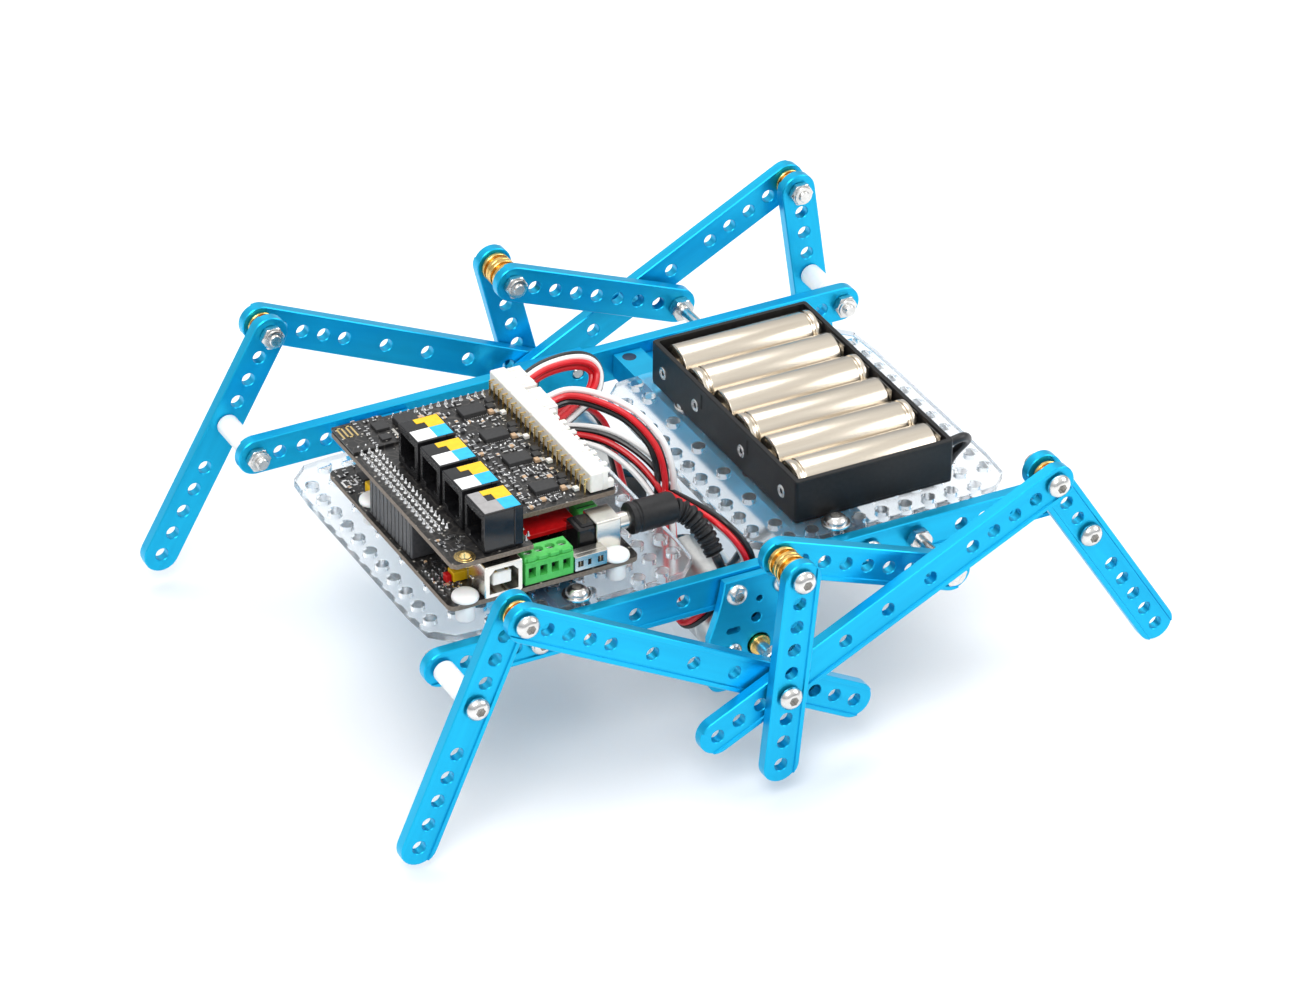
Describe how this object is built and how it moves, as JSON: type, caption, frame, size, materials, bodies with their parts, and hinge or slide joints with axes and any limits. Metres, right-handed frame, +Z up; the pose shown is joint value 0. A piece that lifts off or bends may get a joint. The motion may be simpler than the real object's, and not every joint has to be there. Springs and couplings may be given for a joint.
{
  "type": "legged walking robot kit",
  "caption": "Crank-driven legged walking robot: perforated beam frame, linked legs, controller boards and an open battery box on clear plates.",
  "frame": {"origin": "centre of the bounding box at rest, at the level of the lowest foot", "axes": "+X along the side beams from the controller end to the battery end, +Y across the chassis to the far side, +Z up"},
  "size_m": [0.2694, 0.2142, 0.0962],
  "materials": {
    "blue_anodised": "satin anodised, bright blue",
    "steel": "plated screws, nuts, shafts and hubs",
    "joint_hardware": "brass spacers between steel screws and nuts",
    "white_nylon": "natural nylon",
    "clear_acrylic": "clear laser-cut sheet",
    "circuit_board": "black solder mask with small parts",
    "socket_metal": "plated sheet",
    "black_plastic": "moulded",
    "white_plastic": "moulded",
    "holder_plastic": "moulded, satin",
    "cell_metal": "nickel-plated can",
    "motor_metal": "plated can and gearbox",
    "black_rubber": "overmoulded",
    "lead_insulation": "red, white and black wires"
  },
  "bodies": {
    "chassis": {"side_beam_near": "blue_anodised", "motor_bracket_near": "blue_anodised", "motor_near": "motor_metal", "front_leg_spacer_near": "white_nylon", "front_leg_pivot_near": "steel", "rear_leg_spacer_near": "white_nylon", "rear_leg_pivot_near": "steel", "rocker_shaft_near": "steel", "side_beam_far": "blue_anodised", "motor_bracket_far": "blue_anodised", "motor_far": "motor_metal", "front_leg_spacer_far": "white_nylon", "front_leg_pivot_far": "steel", "rear_leg_spacer_far": "white_nylon", "rear_leg_pivot_far": "steel", "rocker_shaft_far": "steel", "cross_beam_front": "blue_anodised", "cross_beam_rear": "blue_anodised", "deck_plate_front": "clear_acrylic", "deck_plate_rear": "clear_acrylic", "main_board": "circuit_board", "usb_socket": "socket_metal", "power_jack": "socket_metal", "shield_board": "circuit_board", "signal_socket_1": "black_plastic", "signal_socket_2": "black_plastic", "signal_socket_3": "black_plastic", "signal_socket_4": "black_plastic", "motor_connectors": "white_plastic", "battery_holder": "holder_plastic", "cell_1": "cell_metal", "cell_2": "cell_metal", "cell_3": "cell_metal", "cell_4": "cell_metal", "cell_5": "cell_metal", "cell_6": "cell_metal", "power_plug": "black_rubber", "battery_lead": "black_rubber", "motor_leads_near": "lead_insulation", "motor_leads_far": "lead_insulation"},
    "crank_near": {"crank_near": "steel"},
    "front_leg_near": {"front_leg_near": "blue_anodised", "front_joint_near": "joint_hardware"},
    "front_link_near": {"front_link_near": "blue_anodised"},
    "rear_leg_near": {"rear_leg_near": "blue_anodised", "rear_joint_near": "joint_hardware"},
    "rear_link_near": {"rear_link_near": "blue_anodised"},
    "rocker_near": {"rocker_near": "blue_anodised", "mid_joint_near": "joint_hardware"},
    "mid_leg_near": {"mid_leg_near": "blue_anodised"},
    "crank_far": {"crank_far": "steel"},
    "front_leg_far": {"front_leg_far": "blue_anodised", "front_joint_far": "joint_hardware"},
    "front_link_far": {"front_link_far": "blue_anodised"},
    "rear_leg_far": {"rear_leg_far": "blue_anodised", "rear_joint_far": "joint_hardware"},
    "rear_link_far": {"rear_link_far": "blue_anodised"},
    "rocker_far": {"rocker_far": "blue_anodised", "mid_joint_far": "joint_hardware"},
    "mid_leg_far": {"mid_leg_far": "blue_anodised"}
  },
  "joints": [
    {"name": "crank_turn_near", "type": "hinge", "parent": "chassis", "child": "crank_near", "pos_m": [-0.00124, -0.09, 0.0334], "axis": [0, 1, 0], "range_deg": [-25, 25]},
    {"name": "front_leg_swing_near", "type": "hinge", "parent": "chassis", "child": "front_leg_near", "pos_m": [-0.10524, -0.09, 0.0534], "axis": [0, 1, 0], "range_deg": [-1.02, 1.02]},
    {"name": "front_link_turn_near", "type": "hinge", "parent": "front_leg_near", "child": "front_link_near", "pos_m": [-0.09264, -0.09, 0.08281], "axis": [0, 1, 0], "range_deg": [-1.12, 1.12]},
    {"name": "rear_leg_swing_near", "type": "hinge", "parent": "chassis", "child": "rear_leg_near", "pos_m": [0.10276, -0.09, 0.0534], "axis": [0, 1, 0], "range_deg": [-4.49, 4.49]},
    {"name": "rear_link_turn_near", "type": "hinge", "parent": "rear_leg_near", "child": "rear_link_near", "pos_m": [0.08541, -0.09, 0.08028], "axis": [0, 1, 0], "range_deg": [-3.32, 3.32]},
    {"name": "rocker_swing_near", "type": "hinge", "parent": "chassis", "child": "rocker_near", "pos_m": [0.05476, -0.09, 0.0534], "axis": [0, 1, 0], "range_deg": [-3.16, 3.16]},
    {"name": "mid_leg_swing_near", "type": "hinge", "parent": "rocker_near", "child": "mid_leg_near", "pos_m": [-0.00513, -0.09, 0.07597], "axis": [0, 1, 0], "range_deg": [-3.1, 3.1]},
    {"name": "crank_turn_far", "type": "hinge", "parent": "chassis", "child": "crank_far", "pos_m": [-0.00124, 0.09, 0.0334], "axis": [0, 1, 0], "range_deg": [-25, 25]},
    {"name": "front_leg_swing_far", "type": "hinge", "parent": "chassis", "child": "front_leg_far", "pos_m": [-0.10524, 0.09, 0.0534], "axis": [0, 1, 0], "range_deg": [-5.56, 5.56]},
    {"name": "front_link_turn_far", "type": "hinge", "parent": "front_leg_far", "child": "front_link_far", "pos_m": [-0.08957, 0.09, 0.0813], "axis": [0, 1, 0], "range_deg": [-4.8, 4.8]},
    {"name": "rear_leg_swing_far", "type": "hinge", "parent": "chassis", "child": "rear_leg_far", "pos_m": [0.10276, 0.09, 0.0534], "axis": [0, 1, 0], "range_deg": [-1.25, 1.25]},
    {"name": "rear_link_turn_far", "type": "hinge", "parent": "rear_leg_far", "child": "rear_link_far", "pos_m": [0.098, 0.09, 0.08504], "axis": [0, 1, 0], "range_deg": [-3.03, 3.03]},
    {"name": "rocker_swing_far", "type": "hinge", "parent": "chassis", "child": "rocker_far", "pos_m": [0.05476, 0.09, 0.0534], "axis": [0, 1, 0], "range_deg": [-3.57, 3.57]},
    {"name": "mid_leg_swing_far", "type": "hinge", "parent": "rocker_far", "child": "mid_leg_far", "pos_m": [-0.00471, 0.09, 0.07704], "axis": [0, 1, 0], "range_deg": [-1.78, 1.78]}
  ],
  "couplings": [
    {"joint": "front_leg_swing_near", "follows": "crank_turn_near", "ratio": -0.039728},
    {"joint": "front_link_turn_near", "follows": "crank_turn_near", "ratio": -0.043922},
    {"joint": "rear_leg_swing_near", "follows": "crank_turn_near", "ratio": 0.17877},
    {"joint": "rear_link_turn_near", "follows": "crank_turn_near", "ratio": -0.13188},
    {"joint": "rocker_swing_near", "follows": "crank_turn_near", "ratio": 0.12538},
    {"joint": "mid_leg_swing_near", "follows": "crank_turn_near", "ratio": -0.12303},
    {"joint": "front_leg_swing_far", "follows": "crank_turn_far", "ratio": 0.22142},
    {"joint": "front_link_turn_far", "follows": "crank_turn_far", "ratio": -0.19102},
    {"joint": "rear_leg_swing_far", "follows": "crank_turn_far", "ratio": 0.04918},
    {"joint": "rear_link_turn_far", "follows": "crank_turn_far", "ratio": -0.12003},
    {"joint": "rocker_swing_far", "follows": "crank_turn_far", "ratio": -0.14172},
    {"joint": "mid_leg_swing_far", "follows": "crank_turn_far", "ratio": -0.070296}
  ]
}
